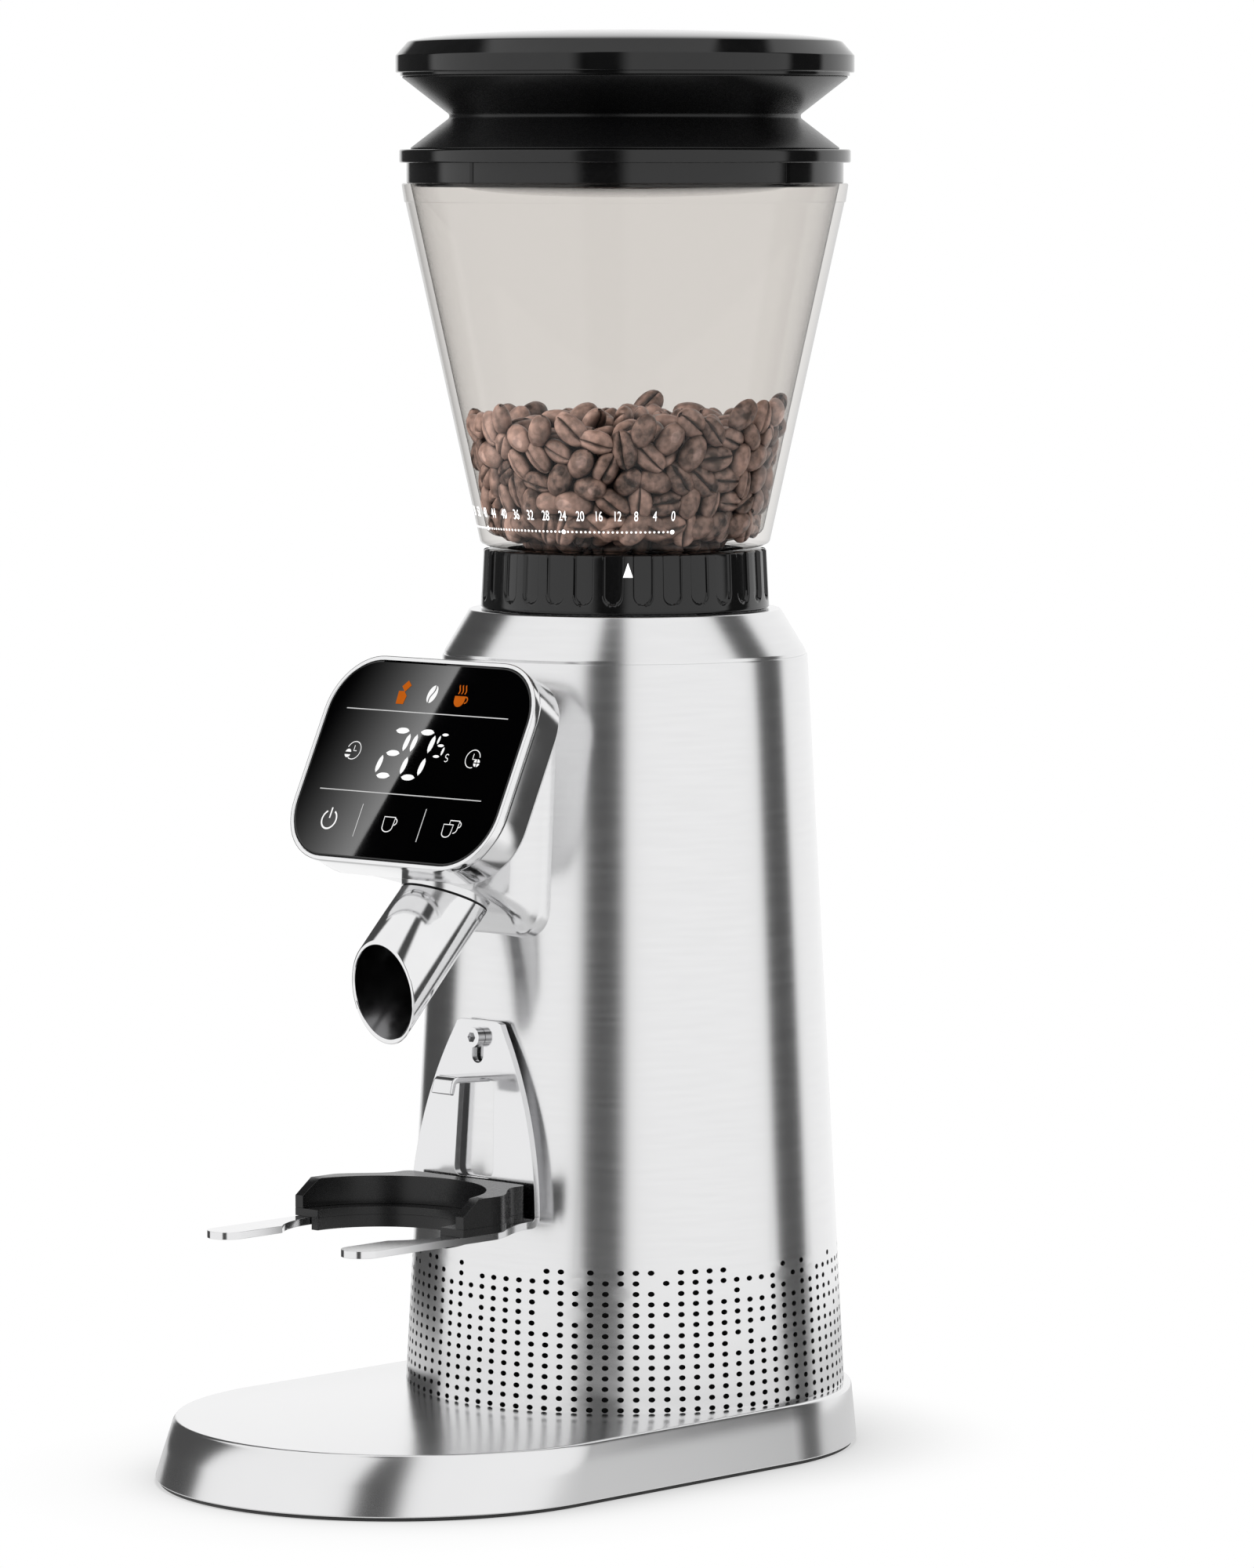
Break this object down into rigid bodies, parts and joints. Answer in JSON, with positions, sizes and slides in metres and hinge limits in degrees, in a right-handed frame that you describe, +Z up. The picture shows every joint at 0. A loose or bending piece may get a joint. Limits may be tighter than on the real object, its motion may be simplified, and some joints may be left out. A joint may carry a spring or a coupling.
{
  "type": "burr coffee grinder",
  "caption": "Tall conical burr coffee grinder with steel body, tilted touch panel, angled spout, filter holder fork and clear bean hopper under a bellows lid",
  "frame": {"origin": "On the burr axis, at the table plane", "axes": "+Z is up, -Y is the front with the touch panel and the spout, and +X is on the right of a viewer who faces that front"},
  "size_m": [0.1342, 0.2215, 0.3956],
  "materials": {
    "steel_body": "fine satin stainless steel with soft vertical reflections",
    "fork_steel": "polished bent stainless sheet",
    "black_plastic": "satin black moulded plastic",
    "gloss_black": "polished black plastic",
    "bellows_rubber": "soft satin black silicone",
    "pad_rubber": "matte black rubber",
    "clear_hopper": "clear moulded plastic with a faint warm tint",
    "panel_glass": "black glass panel with lit touch symbols",
    "screw_steel": "zinc plated steel",
    "burr_steel": "ground tool steel",
    "cast_alloy": "die cast aluminium",
    "motor_paint": "dark grey painted steel",
    "inner_plastic": "dark grey moulded plastic",
    "plain_steel": "bare zinc coated sheet",
    "circuit_board": "green circuit board"
  },
  "bodies": {
    "housing": {"foot_pad": "pad_rubber", "base_shell": "steel_body", "base_plate": "plain_steel", "base_screws": "screw_steel", "body_shell": "steel_body", "shoulder_collar": "steel_body", "grind_chamber": "cast_alloy", "chamber_screws": "screw_steel", "upper_bearing": "burr_steel", "lower_bearing": "burr_steel", "gearbox_housing": "cast_alloy", "gearbox_screws": "screw_steel", "motor_plate": "cast_alloy", "motor_can": "motor_paint", "motor_screws": "screw_steel", "motor_end_cap": "cast_alloy", "neck_housing": "steel_body", "neck_screws": "screw_steel", "head_shell": "steel_body", "head_screws": "screw_steel", "bezel_frame": "steel_body", "touch_glass": "panel_glass", "control_board": "circuit_board", "board_screws": "screw_steel", "spout_tube": "steel_body", "grounds_chute": "inner_plastic", "board_stand": "plain_steel", "stand_screws": "screw_steel", "power_board": "circuit_board", "power_screws": "screw_steel", "cord_gland": "black_plastic", "bracket_screw": "fork_steel"},
    "drive": {"planet_carrier": "burr_steel", "burr_shaft": "burr_steel", "inner_burr": "burr_steel", "sweeper": "inner_plastic", "burr_nut": "screw_steel"},
    "rotor": {"motor_shaft": "burr_steel", "armature": "motor_paint", "sun_gear": "burr_steel", "cooling_fan": "inner_plastic"},
    "planet_1": {"planet_gear_1": "burr_steel"},
    "planet_2": {"planet_gear_2": "burr_steel"},
    "planet_3": {"planet_gear_3": "burr_steel"},
    "adjuster": {"adjusting_ring": "black_plastic", "ring_clip": "screw_steel"},
    "burr_holder": {"burr_carrier": "cast_alloy", "outer_burr": "burr_steel", "burr_screws": "screw_steel"},
    "hopper_body": {"hopper": "clear_hopper"},
    "lid": {"lid_ring": "black_plastic", "bellows": "bellows_rubber"},
    "lid_top": {"lid_cap": "gloss_black"},
    "fork": {"fork_bracket": "fork_steel", "cradle_rest": "black_plastic", "cradle_screws": "screw_steel"}
  },
  "joints": [
    {"name": "burr_spin", "type": "hinge", "parent": "housing", "child": "drive", "pos_m": [0, 0, 0.19], "axis": [0, 0, 1], "continuous": true},
    {"name": "motor_spin", "type": "hinge", "parent": "housing", "child": "rotor", "pos_m": [0, 0, 0.1], "axis": [0, 0, 1], "continuous": true},
    {"name": "planet_spin_1", "type": "hinge", "parent": "drive", "child": "planet_1", "pos_m": [0, 0.015, 0.16], "axis": [0, 0, 1], "continuous": true},
    {"name": "planet_spin_2", "type": "hinge", "parent": "drive", "child": "planet_2", "pos_m": [-0.01299, -0.0075, 0.16], "axis": [0, 0, 1], "continuous": true},
    {"name": "planet_spin_3", "type": "hinge", "parent": "drive", "child": "planet_3", "pos_m": [0.01299, -0.0075, 0.16], "axis": [0, 0, 1], "continuous": true},
    {"name": "grind_adjust", "type": "hinge", "parent": "housing", "child": "adjuster", "pos_m": [0, 0, 0.24], "axis": [0, 0, 1], "range_deg": [-88, 17]},
    {"name": "burr_lift", "type": "slide", "parent": "housing", "child": "burr_holder", "axis": [0, 0, 1], "range_m": [-0.0000708, 0.0003666]},
    {"name": "hopper_lift", "type": "slide", "parent": "burr_holder", "child": "hopper_body", "axis": [0, 0, 1], "range_m": [0, 0.06]},
    {"name": "lid_lift", "type": "slide", "parent": "hopper_body", "child": "lid", "axis": [0, 0, 1], "range_m": [0, 0.04]},
    {"name": "cap_press", "type": "slide", "parent": "lid", "child": "lid_top", "axis": [0, 0, 1], "range_m": [-0.01, 0], "stiffness_N_per_m": 600, "springref_m": 0.004, "deforming": ["bellows"]},
    {"name": "fork_height", "type": "slide", "parent": "housing", "child": "fork", "axis": [0, 0.0521, 0.9986], "range_m": [0, 0.0045]}
  ],
  "couplings": [
    {"joint": "motor_spin", "follows": "burr_spin", "ratio": 5},
    {"joint": "planet_spin_1", "follows": "burr_spin", "ratio": -2.6667},
    {"joint": "planet_spin_2", "follows": "burr_spin", "ratio": -2.6667},
    {"joint": "planet_spin_3", "follows": "burr_spin", "ratio": -2.6667},
    {"joint": "grind_adjust", "follows": "burr_lift", "rad_per_m": -4188.8}
  ]
}
